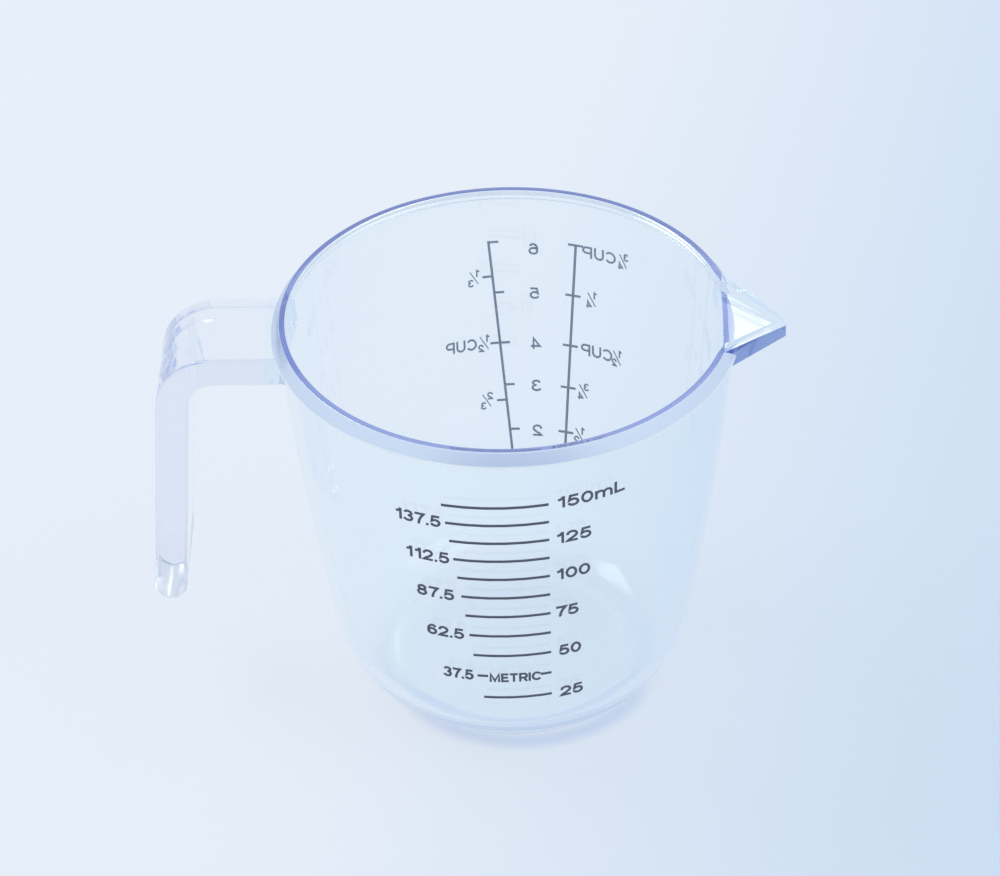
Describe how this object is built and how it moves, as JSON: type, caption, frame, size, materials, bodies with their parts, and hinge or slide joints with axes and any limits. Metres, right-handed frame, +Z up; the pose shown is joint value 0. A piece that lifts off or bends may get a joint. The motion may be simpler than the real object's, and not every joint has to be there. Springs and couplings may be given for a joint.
{
  "type": "measuring cup",
  "caption": "Small clear plastic measuring cup with rounded bottom, rim band, pointed pouring lip, open strap handle and printed metric and ounce scales.",
  "frame": {"origin": "centre of the bounding box, in the plane that the foot ring stands on; the cup's axis is at x = +6.75 mm", "axes": "+X towards the pouring lip, -X towards the handle, -Y towards the millilitre scale, +Z up"},
  "size_m": [0.1002, 0.073, 0.0674],
  "materials": {
    "clear_plastic": "polished clear moulding, faint cool tint at its edges",
    "clear_plastic_handle": "polished clear moulding, thicker than the wall",
    "metric_ink": "thin screen-printed dark grey ink",
    "ounce_ink": "thin screen-printed dark grey ink"
  },
  "bodies": {
    "root": {"cup_body": "clear_plastic", "handle": "clear_plastic_handle", "line_25_ml": "metric_ink", "line_37_5_ml_left_dash": "metric_ink", "line_37_5_ml_right_dash": "metric_ink", "line_50_ml": "metric_ink", "line_62_5_ml": "metric_ink", "line_75_ml": "metric_ink", "line_87_5_ml": "metric_ink", "line_100_ml": "metric_ink", "line_112_5_ml": "metric_ink", "line_125_ml": "metric_ink", "line_137_5_ml": "metric_ink", "line_150_ml": "metric_ink", "ounce_scale_left_comb": "ounce_ink", "ounce_scale_right_comb": "ounce_ink"}
  },
  "joints": []
}
